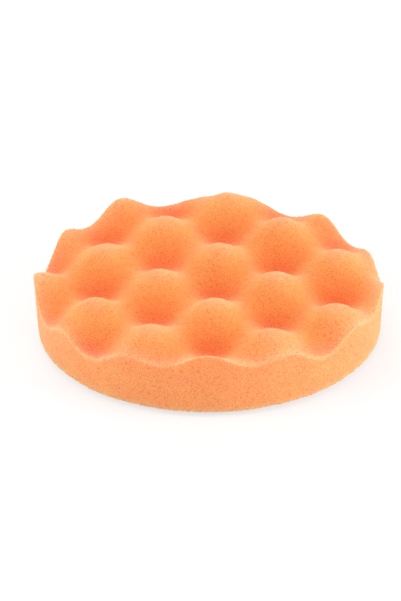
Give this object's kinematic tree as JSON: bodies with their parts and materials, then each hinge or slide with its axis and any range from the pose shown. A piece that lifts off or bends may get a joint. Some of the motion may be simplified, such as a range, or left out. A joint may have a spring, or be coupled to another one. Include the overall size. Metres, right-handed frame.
{
  "type": "polishing pad",
  "caption": "Round orange foam polishing pad with a waffle working face, a slightly leaning die-cut wall and a hook-and-loop loop-cloth backing.",
  "frame": {"origin": "centre of the loop face, on the surface that the pad lies on", "axes": "+Z from the loop face up to the waffle face, +X to the right and +Y away from the picture's viewer"},
  "size_m": [0.1499, 0.1502, 0.0332],
  "materials": {
    "orange_foam": "matt open-cell polyurethane foam",
    "hot_melt_glue": "satin milky film",
    "loop_cloth": "brushed knitted loop"
  },
  "bodies": {
    "root": {"foam_pad": "orange_foam", "adhesive_film": "hot_melt_glue", "loop_backing": "loop_cloth"}
  },
  "joints": []
}
